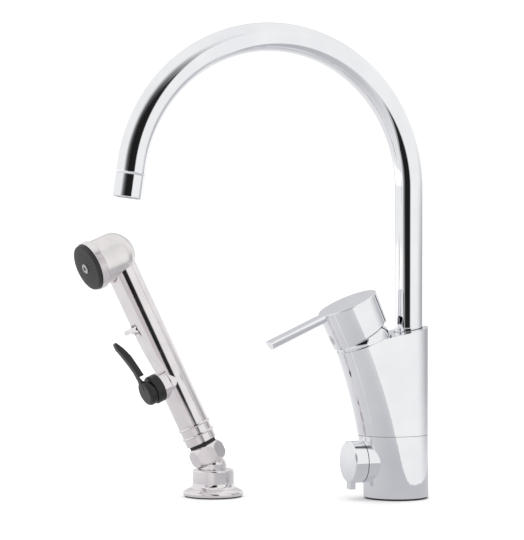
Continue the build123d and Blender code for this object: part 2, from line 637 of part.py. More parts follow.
# spindle: a tongue for the disc, a round neck and a square for the knob
with BuildPart() as valve_spindle:
    rod(valve_frame, (0, 0), TURN_DISC_HIGH, TURN_DISC_HIGH + 0.9, DISC_R - 0.2)
    block(valve_frame, (-TONGUE_HALF, -1, TURN_DISC_HIGH - 1), (TONGUE_HALF, 1, TURN_DISC_HIGH))
    rod(valve_frame, (0, 0), TURN_DISC_HIGH + 0.5, NECK_TOP, NECK_R)
    block(valve_frame, (-SQUARE_HALF, -SQUARE_HALF, NECK_TOP - 0.5), (SQUARE_HALF, SQUARE_HALF, SQUARE_TOP))
keep(valve_spindle, "valve_spindle")

TAB_LOW = 37.1
TAB_HIGH = 41.4
TAB_HALF = 3.75
TAB_TIP = 21.4
KNOB_HOLLOW = (7.0, 14.4)   # ring-shaped hollow in the knob's back, inner and outer radius
KNOB_SCREW_AT = 39.2
KNOB_SCREW_R = 1.95
knob_screw_frame = Plane(
    origin=(0, -KNOB_SCREW_AT, VALVE_Z - SQUARE_HALF), x_dir=(1, 0, 0), z_dir=(0, 0, -1),
)

# knob with a bevelled face, a square socket and a small tab at its rim
with BuildPart() as valve_knob:
    turn(valve_frame, [
        (KNOB_HOLLOW[1], KNOB_BACK), (KNOB_R - 0.3, KNOB_BACK), (KNOB_R, KNOB_BACK + 0.3),
        (KNOB_R, KNOB_FRONT - 1.1), (KNOB_R - 1.1, KNOB_FRONT), (0, KNOB_FRONT),
        (0, KNOB_BACK + 0.5), (KNOB_HOLLOW[0], KNOB_BACK + 0.5), (KNOB_HOLLOW[0], TAB_LOW - 0.6),
        (KNOB_HOLLOW[1], TAB_LOW - 0.6),
    ])
    block(valve_frame, (-TAB_HALF, -TAB_TIP, TAB_LOW), (TAB_HALF, -14, TAB_HIGH))
    block(valve_frame, (-SQUARE_HALF, -SQUARE_HALF, KNOB_BACK), (SQUARE_HALF, SQUARE_HALF, SQUARE_TOP),
          mode=Mode.SUBTRACT)
    rod(valve_frame, (0, 0), KNOB_BACK, NECK_TOP, NECK_R, mode=Mode.SUBTRACT)
    rod(knob_screw_frame, (0, 0), 0, KNOB_R + 3, KNOB_SCREW_R + 0.05, mode=Mode.SUBTRACT)
keep(valve_knob, "valve_knob")

# grub screw that clamps the knob on its square, hidden in a hole from below
with BuildPart() as valve_knob_screw:
    rod(knob_screw_frame, (0, 0), 0, 6, KNOB_SCREW_R)
    with BuildSketch(knob_screw_frame.offset(4)) as key:
        RegularPolygon(1.0, 6, major_radius=False)
    extrude(key.sketch, amount=2, mode=Mode.SUBTRACT)
keep(valve_knob_screw, "valve_knob_screw")

# ================================================================= spray holder
SPRAY_SEAL = 0.8
HOLDER_BORE = 12.2
FOOT_BORE = 13.3

# gasket under the holder
with BuildPart() as spray_base_gasket:
    turn(holder_frame, [(FOOT_BORE + 0.5, 0), (22.6, 0), (22.6, SPRAY_SEAL), (FOOT_BORE + 0.5, SPRAY_SEAL)])
keep(spray_base_gasket, "spray_base_gasket")

# holder: a collar that flares out into a flange with a rounded rim
with BuildPart() as spray_base:
    with BuildSketch(Plane(origin=holder_frame.origin, x_dir=(1, 0, 0), z_dir=(0, -1, 0))) as profile:
        with BuildLine():
            Line((FOOT_BORE, SPRAY_SEAL), (FLANGE_R - 0.8, SPRAY_SEAL))
            ThreePointArc((FLANGE_R - 0.8, SPRAY_SEAL), (FLANGE_R, 2.4), (FLANGE_R - 1.3, 4.6))
            Line((FLANGE_R - 1.3, 4.6), (FLANGE_R - 3.6, 6.0))
            ThreePointArc((FLANGE_R - 3.6, 6.0), (17.3, 7.9), (HOLDER_R, 11.2))
            Line((HOLDER_R, 11.2), (HOLDER_R, HOLDER_TOP - 1.4))
            ThreePointArc((HOLDER_R, HOLDER_TOP - 1.4), (HOLDER_R - 0.4, HOLDER_TOP - 0.4),
                          (HOLDER_R - 1.4, HOLDER_TOP))
            Line((HOLDER_R - 1.4, HOLDER_TOP), (HOLDER_BORE, HOLDER_TOP))
            Line((HOLDER_BORE, HOLDER_TOP), (HOLDER_BORE, 5.5))
            Line((HOLDER_BORE, 5.5), (FOOT_BORE, 5.5))
            Line((FOOT_BORE, 5.5), (FOOT_BORE, SPRAY_SEAL))
        make_face()
    revolve(profile.sketch, axis=Axis(holder_frame.origin, (0, 0, 1)))
keep(spray_base, "spray_base")

# plastic bush that lines the holder
with BuildPart() as socket_bush:
    turn(holder_frame, [
        (HOLDER_SOCKET_R + 0.06, 5.5), (HOLDER_BORE, 5.5),
        (HOLDER_BORE, HOLDER_TOP - 0.4), (HOLDER_SOCKET_R + 0.06, HOLDER_TOP - 0.4),
    ])
keep(socket_bush, "socket_bush")

# ring clip that keeps the socket's foot in the holder
with BuildPart() as socket_clip:
    turn(holder_frame, [(9.0, SPRAY_SEAL), (FOOT_BORE, SPRAY_SEAL), (FOOT_BORE, 1.9), (9.0, 1.9)])
keep(socket_clip, "socket_clip")

SOCKET_LOW_Z = 2.0
SOCKET_FOOT_TOP = 5.3
SOCKET_TOP = 29.8
HOSE_WAY_R = 8.2
HOSE_WAY_TOP = 19.0
TAIL_WAY_R = 5.1

# swivelling socket: an upright barrel with a rounded top, cut square to the handle,
# with a wide upright bore for the hose and a slanted bore for its end
with BuildPart() as swivel_socket:
    turn(holder_frame, [
        (0, SOCKET_LOW_Z), (HOLDER_SOCKET_R, SOCKET_LOW_Z), (HOLDER_SOCKET_R, SOCKET_TOP - 4.0),
        (HOLDER_SOCKET_R - 0.3, SOCKET_TOP - 2.5), (HOLDER_SOCKET_R - 1.2, SOCKET_TOP - 1.0),
        (HOLDER_SOCKET_R - 2.6, SOCKET_TOP), (0, SOCKET_TOP),
    ])
    split(bisect_by=handle.offset(NUT_LOW - 0.1), keep=Keep.BOTTOM)
    rod(holder_frame, (0, 0), SOCKET_LOW_Z, SOCKET_FOOT_TOP, FOOT_BORE - 0.3)
    rod(holder_frame, (0, 0), 0, HOSE_WAY_TOP, HOSE_WAY_R, mode=Mode.SUBTRACT)
    rod(handle, (0, 0), -7.5, NUT_LOW + 2, TAIL_WAY_R, mode=Mode.SUBTRACT)
keep(swivel_socket, "swivel_socket")

# ================================================================= spray handle
SLEEVE_IN = 10.5            # inner end of the sleeve, inside the nut
SLEEVE_THREAD_R = 9.8
TAIL_LOW = -2.3             # the hose end's tail stays above the socket's upright bore
TAIL_NECK_R = 5.9
COLLAR_LOW = 9.0

# hose end: a tube with a collar that the nut draws up
with BuildPart() as hose_ferrule:
    turn(handle, [
        (3.5, TAIL_LOW), (TAIL_WAY_R - 0.06, TAIL_LOW), (TAIL_WAY_R - 0.06, NUT_LOW), (TAIL_NECK_R, NUT_LOW),
        (TAIL_NECK_R, COLLAR_LOW), (9.3, COLLAR_LOW), (9.3, SLEEVE_IN), (3.5, SLEEVE_IN),
    ])
keep(hose_ferrule, "hose_ferrule")

NUT_FLAT = 12.5             # half the width across flats
NUT_END_R = 11.2
NUT_CORNER_R = 14.5
NUT_ROUND = 5.6             # length of the rounded part at each end

# hexagon nut, a flat towards the head's side, both ends turned to a round chamfer
with BuildPart() as hose_nut:
    with BuildSketch(handle.offset(NUT_LOW)) as hexagon:
        RegularPolygon(NUT_FLAT, 6, major_radius=False, rotation=NUT_TURN)
    extrude(hexagon.sketch, amount=NUT_HIGH - NUT_LOW)
    with BuildSketch(handle_side) as profile:
        with BuildLine():
            Line((0, NUT_LOW), (NUT_END_R, NUT_LOW))
            ThreePointArc((NUT_END_R, NUT_LOW), (13.3, NUT_LOW + 2.3), (NUT_CORNER_R, NUT_LOW + NUT_ROUND))
            Line((NUT_CORNER_R, NUT_LOW + NUT_ROUND), (NUT_CORNER_R, NUT_HIGH - NUT_ROUND))
            ThreePointArc((NUT_CORNER_R, NUT_HIGH - NUT_ROUND), (13.3, NUT_HIGH - 2.3), (NUT_END_R, NUT_HIGH))
            Line((NUT_END_R, NUT_HIGH), (0, NUT_HIGH))
            Line((0, NUT_HIGH), (0, NUT_LOW))
        make_face()
    revolve(profile.sketch, axis=Axis(handle.origin, handle.z_dir), mode=Mode.INTERSECT)
    rod(handle, (0, 0), NUT_LOW - 1, COLLAR_LOW, TAIL_NECK_R, mode=Mode.SUBTRACT)
    rod(handle, (0, 0), COLLAR_LOW, NUT_HIGH + 1, SLEEVE_THREAD_R, mode=Mode.SUBTRACT)
keep(hose_nut, "hose_nut")

WASHER_R = 10.8

# rubber washer that shows as a dark line above the nut
with BuildPart() as hose_washer:
    turn(handle, [
        (SLEEVE_THREAD_R, NUT_HIGH), (WASHER_R, NUT_HIGH), (WASHER_R, SLEEVE_LOW),
        (SLEEVE_THREAD_R, SLEEVE_LOW),
    ])
keep(hose_washer, "hose_washer")


def bead(station):
    """Outline points of a raised bead around the sleeve."""
    return [
        (HANDLE_R, station - 1.0), (HANDLE_R + 0.7, station - 0.75), (HANDLE_R + 1.0, station),
        (HANDLE_R + 0.7, station + 0.75), (HANDLE_R, station + 1.0),
    ]


SLEEVE_BORE = 8.0
SLEEVE_TOP = 45.0           # the sleeve's upper end, inside the handle
WATERWAY_R = 3.2
BEAD_LOW = 28.5
BEAD_HIGH = 36.0

# threaded sleeve at the handle's foot, with two beads
with BuildPart() as lower_sleeve:
    turn(handle, [
        (SLEEVE_BORE, SLEEVE_IN), (SLEEVE_THREAD_R, SLEEVE_IN), (SLEEVE_THREAD_R, SLEEVE_LOW),
        (HANDLE_R - 0.5, SLEEVE_LOW), (HANDLE_R, SLEEVE_LOW + 0.5), *bead(BEAD_LOW), *bead(BEAD_HIGH),
        (HANDLE_R, SLEEVE_HIGH - 0.2), (HANDLE_R - 0.2, SLEEVE_HIGH),
        (HANDLE_BORE, SLEEVE_HIGH), (HANDLE_BORE, SLEEVE_TOP), (SLEEVE_BORE, SLEEVE_TOP),
    ])
keep(lower_sleeve, "lower_sleeve")

# check valve pressed into the sleeve
with BuildPart() as check_valve:
    turn(handle, [(WATERWAY_R, 24), (SLEEVE_BORE, 24), (SLEEVE_BORE, 34), (WATERWAY_R, 34)])
keep(check_valve, "check_valve")

DOME_BACK = 15.5
BARREL_END = 17.6
DOME_EDGE = 1.0             # the dome meets the straight barrel here
DOME_SIDE_R = 15.0          # tight arc at the dome's side
dome_deep = DOME_BACK + DOME_EDGE
dome_top_r = ((HEAD_R - DOME_SIDE_R) ** 2 + dome_deep**2 - DOME_SIDE_R**2) / (2 * (dome_deep - DOME_SIDE_R))
dome_meet = degrees(atan((dome_top_r - dome_deep) / (HEAD_R - DOME_SIDE_R)))


def head_profile():
    """Half outline of the head: an oval dome of two tangent arcs and a straight barrel."""
    side = Plane(origin=head_frame.origin, x_dir=head_frame.x_dir, z_dir=-head_frame.y_dir)
    with BuildSketch(side) as profile:
        with BuildLine():
            CenterArc((HEAD_R - DOME_SIDE_R, DOME_EDGE), DOME_SIDE_R, 0, -dome_meet)
            CenterArc((0, dome_top_r - DOME_BACK), dome_top_r, -dome_meet, dome_meet - 90)
            Line((HEAD_R, DOME_EDGE), (HEAD_R, BARREL_END))
            Line((HEAD_R, BARREL_END), (0, BARREL_END))
            Line((0, BARREL_END), (0, -DOME_BACK))
        make_face()
    return profile.sketch


head_axis = Axis(head_frame.origin, head_frame.z_dir)

FLAT_LOW = 81.0             # the thumb flat starts under the boss and runs up to the catch
FLAT_LOW_OFF = 5.4
FLAT_HIGH = 126.6
FLAT_HIGH_OFF = 12.55
POCKET_HALF = 4.9           # pocket for the catch, half its width
POCKET_FLOOR = 7.8
POCKET_LOW = 121.2
POCKET_HIGH = 129.4
CORE_LOW = 56.0             # the handle is solid between these two stations, but for its waterway
CORE_HIGH = 136.0
ROD_WAY_R = 1.6             # bore for the valve's push rod


def thumb_flat(mode):
    """The wedge of the handle that the slanted flat takes away."""
    with BuildSketch(handle_side.offset(-HANDLE_R - 1)) as wedge:
        with BuildLine():
            Polyline(
                (FLAT_LOW_OFF, FLAT_LOW), (FLAT_HIGH_OFF, FLAT_HIGH), (HANDLE_R + 3, FLAT_HIGH),
                (HANDLE_R + 3, FLAT_LOW), close=True,
            )
        make_face()
    extrude(wedge.sketch, amount=2 * HANDLE_R + 2, mode=mode)


# handle: a tube coped to the head, solid around the valve, with a slanted flat
# that makes room for the squeezed trigger and a pocket for the catch
with BuildPart() as handle_tube:
    rod(handle, (0, 0), SLEEVE_HIGH, HEAD_AT, HANDLE_R)
    revolve(head_profile(), axis=head_axis, mode=Mode.SUBTRACT)
    rod(handle, (0, 0), SLEEVE_HIGH - 1, CORE_LOW, HANDLE_BORE, mode=Mode.SUBTRACT)
    rod(handle, (0, 0), CORE_LOW - 1, CORE_HIGH + 1, WATERWAY_R, mode=Mode.SUBTRACT)
    rod(handle, (0, 0), CORE_HIGH, HEAD_AT, HANDLE_BORE, mode=Mode.SUBTRACT)
    thumb_flat(Mode.SUBTRACT)
    block(handle, (POCKET_FLOOR, -POCKET_HALF, POCKET_LOW), (HANDLE_R + 2, POCKET_HALF, POCKET_HIGH),
          mode=Mode.SUBTRACT)
    rod(plunger_frame, (0, 0), 0, HANDLE_R + 1, ROD_WAY_R, mode=Mode.SUBTRACT)
keep(handle_tube, "handle_tube")

BOSS_R = 11.4
BOSS_FOOT_R = 12.3
BOSS_HIGH = 14.0
RING_R = 11.45
RING_HIGH = 21.0

# the part of the boss that fills the flat's lower end
with BuildPart() as boss_fill:
    rod(boss_frame, (0, 0), 5, BOSS_HIGH, BOSS_R)
    thumb_flat(Mode.INTERSECT)

# chrome boss on the handle, square to it, with a low foot
with BuildPart() as trigger_boss:
    rod(boss_frame, (0, 0), 1, 7.5, BOSS_FOOT_R)
    rod(boss_frame, (0, 0), 5, BOSS_HIGH, BOSS_R)
    rod(handle, (0, 0), TRIGGER_AT - 15, TRIGGER_AT + 15, HANDLE_R, mode=Mode.SUBTRACT)
    add(boss_fill.part)
    rod(plunger_frame, (0, 0), 0, BOSS_HIGH + 1, ROD_WAY_R, mode=Mode.SUBTRACT)
keep(trigger_boss, "trigger_boss")

POST_R = 2.6
POST_HALF = 2.4
PIVOT_R = 1.25
hub_side = Plane(
    origin=handle.from_local_coords(Vector(TRIGGER_OFF, 0, TRIGGER_AT)),
    x_dir=handle.x_dir,
    z_dir=-handle.y_dir,
)

# black union ring with the post that carries the trigger
with BuildPart() as valve_ring:
    turn(boss_frame, [
        (0, BOSS_HIGH), (RING_R, BOSS_HIGH), (RING_R, RING_HIGH - 0.9), (RING_R - 0.9, RING_HIGH),
        (0, RING_HIGH),
    ])
    with BuildSketch(hub_side.offset(-POST_HALF)) as post:
        Circle(POST_R)
        with Locations(((RING_HIGH - 1 - TRIGGER_OFF) / 2, 0)):
            Rectangle(TRIGGER_OFF - RING_HIGH + 1, 2 * POST_R)
    extrude(post.sketch, amount=2 * POST_HALF)
    with BuildSketch(hub_side.offset(-5)) as eye:
        Circle(PIVOT_R + 0.05)
    extrude(eye.sketch, amount=10, mode=Mode.SUBTRACT)
    rod(plunger_frame, (0, 0), BOSS_HIGH - 1, RING_HIGH - 2.4, 3.4, mode=Mode.SUBTRACT)
    rod(plunger_frame, (0, 0), BOSS_HIGH - 1, RING_HIGH + 1, ROD_WAY_R, mode=Mode.SUBTRACT)
keep(valve_ring, "valve_ring")

PLUNGER_TIP = 22.5
PLUNGER_R = 1.5
SPRING_SEAT = 17.4          # underside of the push rod's collar

# push rod of the spray's valve, with the collar that its spring lifts
with BuildPart() as plunger:
    turn(plunger_frame, [
        (0, 4), (PLUNGER_R, 4), (PLUNGER_R, SPRING_SEAT), (2.9, SPRING_SEAT), (2.9, SPRING_SEAT + 0.9),
        (PLUNGER_R, SPRING_SEAT + 0.9), (PLUNGER_R, PLUNGER_TIP - 0.5), (0.9, PLUNGER_TIP), (0, PLUNGER_TIP),
    ])
keep(plunger, "plunger")

SPRING_WIRE = 0.3
SPRING_R = 2.3

# its spring, between the boss and the collar
with BuildPart() as plunger_spring:
    spring_start = plunger_frame.from_local_coords(Vector(0, 0, BOSS_HIGH + SPRING_WIRE))
    coil = Helix(
        pitch=1.12, height=SPRING_SEAT - BOSS_HIGH - 2 * SPRING_WIRE, radius=SPRING_R,
        center=spring_start, direction=plunger_frame.z_dir,
    )
    with BuildSketch(Plane(origin=coil @ 0, z_dir=coil % 0)):
        Circle(SPRING_WIRE)
    sweep(path=coil, is_frenet=True)
keep(plunger_spring, "plunger_spring")

HUB_LOW = 21.3
HUB_HIGH = 27.6
HUB_DISC_R = 10.4
BLADE_HALF = 2.4
HEEL_GAP = 2.6              # the hub's heel clears its pivot's centre by this
blade_dir = radians(TRIGGER_REST)


def blade_point(along, out):
    """A point of the trigger's side view, from the pivot along and square to the blade."""
    return (along * sin(blade_dir) + out * cos(blade_dir), along * cos(blade_dir) - out * sin(blade_dir))


# trigger: a round hub over the ring and a blade that ends in a thin nose
with BuildPart() as trigger_lever:
    turn(boss_frame, [
        (0, HUB_LOW), (HUB_DISC_R - 0.5, HUB_LOW), (HUB_DISC_R, HUB_LOW + 0.5),
        (HUB_DISC_R, HUB_HIGH - 2.2), (HUB_DISC_R - 0.7, HUB_HIGH - 0.7), (HUB_DISC_R - 2.2, HUB_HIGH),
        (0, HUB_HIGH),
    ])
    with BuildSketch(hub_side.offset(-BLADE_HALF)) as blade:
        with BuildLine():
            Polyline(
                blade_point(2.0, 0.5), blade_point(11.6, -0.6), blade_point(12.4, -1.2),
                blade_point(12.9, -2.4), blade_point(13.2, -4.3), blade_point(20.0, -4.5),
                blade_point(32.0, -4.5), blade_point(40.0, -2.9),
                blade_point(45.4, -1.0), blade_point(TRIGGER_LONG, -0.2),
                blade_point(TRIGGER_LONG - 0.4, 0.8), blade_point(46.0, 1.4), blade_point(42.0, 2.0),
                blade_point(36.4, 1.3), blade_point(27.3, 0.6), blade_point(19.3, 0.4),
                blade_point(12.4, 1.2), blade_point(5.0, 3.1), blade_point(2.0, 3.2), close=True,
            )
        make_face()
    extrude(blade.sketch, amount=2 * BLADE_HALF)
    # underside bevelled so that the hub can rock inwards
    with BuildSketch(hub_side.offset(-15)) as wedge:
        bevel = radians(TRIGGER_RANGE + 0.4)
        heel = -HEEL_GAP / cos(bevel)
        with BuildLine():
            Polyline(
                (heel, 0), (heel + 14 * tan(bevel), 14), (-8, 14), (-8, 0), close=True,
            )
        make_face()
    extrude(wedge.sketch, amount=30, mode=Mode.SUBTRACT)
    # slot for the post
    with BuildSketch(hub_side.offset(-POST_HALF - 0.3)) as slot:
        Circle(POST_R + 0.4)
        with Locations((-4, 0)):
            Rectangle(8, 2 * POST_R + 2.4)
    extrude(slot.sketch, amount=2 * POST_HALF + 0.6, mode=Mode.SUBTRACT)
    with BuildSketch(hub_side.offset(-8)) as eye:
        Circle(PIVOT_R)
    extrude(eye.sketch, amount=16, mode=Mode.SUBTRACT)
keep(trigger_lever, "trigger_lever")

# steel pin of the trigger
with BuildPart() as trigger_pin:
    with BuildSketch(hub_side.offset(-7.5)) as shank:
        Circle(PIVOT_R)
    extrude(shank.sketch, amount=15)
keep(trigger_pin, "trigger_pin")

LUG_HALF = 2.1
EAR_R = 2.8
catch_side = Plane(
    origin=handle.from_local_coords(Vector(CATCH_OFF, 0, CATCH_AT)),
    x_dir=handle.x_dir,
    z_dir=-handle.y_dir,
)

# lug that stands in the handle's pocket and carries the catch's pin
with BuildPart() as latch_lug:
    with BuildSketch(catch_side.offset(-LUG_HALF)) as side_view:
        Circle(EAR_R)
        with Locations(((POCKET_FLOOR - CATCH_OFF) / 2, 0)):
            Rectangle(CATCH_OFF - POCKET_FLOOR, 2 * EAR_R)
    extrude(side_view.sketch, amount=2 * LUG_HALF)
    with BuildSketch(catch_side.offset(-5)) as eye:
        Circle(PIVOT_R)
    extrude(eye.sketch, amount=10, mode=Mode.SUBTRACT)
keep(latch_lug, "latch_lug")

EAR_OUT = 4.4
EAR_IN = LUG_HALF + 0.3
TAB_END = 7.8

# catch: two ears on the pin, a thumb tab and a lip that holds the squeezed trigger
with BuildPart() as latch_catch:
    with BuildSketch(catch_side.offset(-EAR_OUT)) as side_view:
        Circle(EAR_R)
        with BuildLine():
            Polyline(
                (0, -0.9), (6.6, -0.9), (6.6, -1.3), (TAB_END - 0.4, -1.3), (TAB_END, -0.9),
                (TAB_END, 1.6), (TAB_END - 0.8, 2.4), (0, 2.4), close=True,
            )
        make_face()
    extrude(side_view.sketch, amount=2 * EAR_OUT)
    block(catch_side, (-EAR_R - 1, -EAR_R - 1, -EAR_IN), (EAR_R + 0.25, EAR_R + 1, EAR_IN),
          mode=Mode.SUBTRACT)
    with BuildSketch(catch_side.offset(-5)) as eye:
        Circle(PIVOT_R + 0.05)
    extrude(eye.sketch, amount=10, mode=Mode.SUBTRACT)
keep(latch_catch, "latch_catch")

# pin through the lug and both ears
with BuildPart() as latch_pin:
    with BuildSketch(catch_side.offset(-EAR_OUT - 0.2)) as shank:
        Circle(PIVOT_R)
    extrude(shank.sketch, amount=2 * EAR_OUT + 0.4)
keep(latch_pin, "latch_pin")

# ================================================================= spray head
SPIGOT_R = 17.5
SPIGOT_END = 21.4
POST_END = 19.4
RIM_R = 19.9
RIM_LOW = 18.2
RIM_HIGH = 24.0
FACE_R = 18.7
FACE_HIGH = 27.4
FACE_CROWN = 0.6            # the face bulges this much towards its centre
SEAL_IN_R = 13.4
HEAD_CHAMBER_R = 16.3
SCREW_POST_R = 4.5
FACE_SCREW_R = 2.5

# head: dome and barrel, hollow, with a spigot for the rim and a post for the screw
with BuildPart() as head_shell:
    revolve(head_profile(), axis=head_axis)
    rod(head_frame, (0, 0), BARREL_END - 0.4, SPIGOT_END, SPIGOT_R)
    turn(head_frame, [
        (0, -11), (8, -10), (14, -4), (HEAD_CHAMBER_R, 2), (HEAD_CHAMBER_R, SPIGOT_END + 1),
        (0, SPIGOT_END + 1),
    ], mode=Mode.SUBTRACT)
    rod(handle, (0, 0), HEAD_AT - 30, HEAD_AT - 6, 9.0, mode=Mode.SUBTRACT)
    rod(head_frame, (0, 0), -13, POST_END, SCREW_POST_R)
    rod(head_frame, (0, 0), 10, POST_END + 1, FACE_SCREW_R, mode=Mode.SUBTRACT)
keep(head_shell, "head_shell")

# plated ring around the spray face
with BuildPart() as rim_ring:
    turn(head_frame, [
        (SPIGOT_R, RIM_LOW), (RIM_R - 0.8, RIM_LOW), (RIM_R, RIM_LOW + 0.8), (RIM_R, RIM_HIGH - 0.6),
        (RIM_R - 0.6, RIM_HIGH), (FACE_R + 0.05, RIM_HIGH), (FACE_R + 0.05, SPIGOT_END),
        (SPIGOT_R, SPIGOT_END),
    ])
keep(rim_ring, "rim_ring")

# rubber seal behind the spray face
with BuildPart() as head_seal:
    turn(head_frame, [
        (SEAL_IN_R, POST_END), (HEAD_CHAMBER_R, POST_END), (HEAD_CHAMBER_R, SPIGOT_END),
        (SEAL_IN_R, SPIGOT_END),
    ])
keep(head_seal, "head_seal")

# black spray face with three rings of fine jets
with BuildPart() as spray_face:
    turn(head_frame, [
        (0, SPIGOT_END), (FACE_R, SPIGOT_END), (FACE_R, FACE_HIGH - 1.4), (FACE_R - 0.3, FACE_HIGH - 0.6),
        (FACE_R - 1.0, FACE_HIGH - 0.1), (12, FACE_HIGH + FACE_CROWN * 0.6), (5, FACE_HIGH + FACE_CROWN),
        (0, FACE_HIGH + FACE_CROWN),
    ])
    rod(head_frame, (0, 0), SPIGOT_END - 1, FACE_HIGH - 3, SEAL_IN_R, mode=Mode.SUBTRACT)
    rod(head_frame, (0, 0), POST_END, FACE_HIGH - 2, SCREW_POST_R)
    rod(head_frame, (0, 0), POST_END - 0.5, FACE_HIGH + 2, FACE_SCREW_R, mode=Mode.SUBTRACT)
    for count, ring_r in ((14, 6.2), (20, 8.9), (26, 11.6)):
        with BuildSketch(head_frame.offset(FACE_HIGH - 4)) as jets:
            with PolarLocations(ring_r, count):
                Circle(0.45)
        extrude(jets.sketch, amount=7, mode=Mode.SUBTRACT)
keep(spray_face, "spray_face")

SCREW_SEAT = FACE_HIGH + FACE_CROWN
SCREW_HEAD_R = 4.0
SCREW_HEAD_HIGH = 0.9

# centre screw with a hexagon socket
with BuildPart() as face_screw:
    rod(head_frame, (0, 0), 12, SCREW_SEAT, FACE_SCREW_R)
    turn(head_frame, [
        (0, SCREW_SEAT), (SCREW_HEAD_R, SCREW_SEAT), (SCREW_HEAD_R, SCREW_SEAT + SCREW_HEAD_HIGH - 0.4),
        (SCREW_HEAD_R - 0.4, SCREW_SEAT + SCREW_HEAD_HIGH), (0, SCREW_SEAT + SCREW_HEAD_HIGH),
    ])
    with BuildSketch(head_frame.offset(SCREW_SEAT - 1.6)) as key:
        RegularPolygon(1.5, 6, major_radius=False)
    extrude(key.sketch, amount=4, mode=Mode.SUBTRACT)
keep(face_screw, "face_screw")

print(len(made), "pieces")
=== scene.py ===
# %% [markdown]
# # A kitchen faucet with a side spray
# The object is a chrome mixer with a high swivel spout, a lever cap on a leaning
# cartridge and a small shut-off knob, beside a spray handset that leans in its own
# deck holder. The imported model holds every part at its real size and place. This
# lesson gives it its looks: smooth plated surfaces, moulded plastic, rubber, and a
# small white studio whose dark gaps draw the black lines that chrome needs.

# %% Load the fixed frame
import json

import bpy
import numpy as np
from mathutils import Matrix, Vector


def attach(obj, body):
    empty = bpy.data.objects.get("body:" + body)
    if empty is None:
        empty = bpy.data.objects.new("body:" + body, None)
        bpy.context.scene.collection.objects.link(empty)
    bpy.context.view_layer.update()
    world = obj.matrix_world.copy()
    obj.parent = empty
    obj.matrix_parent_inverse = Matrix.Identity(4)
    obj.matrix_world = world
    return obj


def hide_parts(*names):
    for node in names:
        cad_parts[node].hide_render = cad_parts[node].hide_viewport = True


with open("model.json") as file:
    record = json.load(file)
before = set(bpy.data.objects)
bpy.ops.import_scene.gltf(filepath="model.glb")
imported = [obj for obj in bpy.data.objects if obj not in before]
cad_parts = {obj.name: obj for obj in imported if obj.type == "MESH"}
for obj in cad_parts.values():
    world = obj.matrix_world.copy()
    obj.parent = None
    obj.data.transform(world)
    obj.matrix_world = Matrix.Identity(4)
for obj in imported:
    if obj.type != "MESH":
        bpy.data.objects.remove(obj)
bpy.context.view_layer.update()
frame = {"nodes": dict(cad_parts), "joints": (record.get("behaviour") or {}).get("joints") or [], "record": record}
nodes = frame["nodes"]
MM = 0.001

# %% [markdown]
# ## The camera
# The photograph was taken from the mixer's right front, a little above the middle
# of its height, with a long lens. A camera could be turned by hand until the view
# fits, but its place follows from four facts: where it stands, how high, how far,
# and how many pixels wide a millimetre looks. The long side of the image, 540
# pixels, belongs to the sensor's full width.

# %% Camera from the photograph's view
IMAGE_LONG_SIDE = 540
IMAGE_CENTRE = (262, 270)
SENSOR_MM = 36.0
CAMERA_DISTANCE = 1770 * MM
CAMERA_HEIGHT = 210 * MM
FOCAL_PIXELS = 2229
HORIZON_PIXEL = 232.5
AXIS_PIXEL = 396.3          # the foot's centre, in the photograph
NEAREST_SEEN = 0.05         # metres
FURTHEST_SEEN = 20.0

up_axis = np.array([0.0, 0.0, 1.0])
toward_camera = np.array([0.9003, -0.4353, 0.0])
image_right = np.cross(up_axis, toward_camera)
camera_data = bpy.data.cameras.new("photo_camera")
camera_data.sensor_width = SENSOR_MM
camera_data.lens = FOCAL_PIXELS * SENSOR_MM / IMAGE_LONG_SIDE
camera_data.clip_start = NEAREST_SEEN
camera_data.clip_end = FURTHEST_SEEN
camera = bpy.data.objects.new("photo_camera", camera_data)
bpy.context.scene.collection.objects.link(camera)
bpy.context.scene.camera = camera

eye = toward_camera * CAMERA_DISTANCE + up_axis * CAMERA_HEIGHT
turn = (AXIS_PIXEL - IMAGE_CENTRE[0]) / FOCAL_PIXELS
tilt = (IMAGE_CENTRE[1] - HORIZON_PIXEL) / FOCAL_PIXELS
looking = -toward_camera - image_right * turn - up_axis * tilt
camera.matrix_world = (
    Matrix.Translation(Vector(eye)) @ Vector(looking).to_track_quat("-Z", "Y").to_matrix().to_4x4()
)
print("camera at", eye.round(3), "lens", round(camera_data.lens, 1), "mm")

# %% [markdown]
# ## Helpers for colours and nodes
# Colours are written as the sRGB hex values that an eyedropper would give, and the
# shader wants linear light, so one function turns one into the other. A second adds
# any shader node with its settings and links in a single call. The node that mixes
# two colours is wanted twice below. Its sockets share their names with those for
# plain numbers, so they are found by their number, once and for all, in a third.

# %% Colour and node helpers
MIX_SHARE, MIX_FIRST, MIX_SECOND, MIX_RESULT = 0, 6, 7, 2


def linear(hex_colour):
    """sRGB hex to linear light: v / 12.92 below 0.04045, else ((v + 0.055) / 1.055) ** 2.4."""
    value = np.array([int(hex_colour[i:i + 2], 16) for i in (1, 3, 5)]) / 255
    light = np.where(value <= 0.04045, value / 12.92, ((value + 0.055) / 1.055) ** 2.4)
    return (*light.tolist(), 1.0)


def add_node(tree, kind, inputs=None, **settings):
    """Add a node of the kind, set its own settings, then fill or link its inputs by name or number."""
    node = tree.nodes.new(kind)
    for name, value in settings.items():
        setattr(node, name, value)
    for name, value in (inputs or {}).items():
        if isinstance(value, bpy.types.NodeSocket):
            tree.links.new(value, node.inputs[name])
        else:
            node.inputs[name].default_value = value
    return node


def mixed_colour(tree, share, first, second):
    """Socket with the colour first * (1 - share) + second * share, both given as sRGB hex."""
    mix = add_node(tree, "ShaderNodeMix", {
        MIX_SHARE: share, MIX_FIRST: linear(first), MIX_SECOND: linear(second),
    }, data_type="RGBA")
    return mix.outputs[MIX_RESULT]


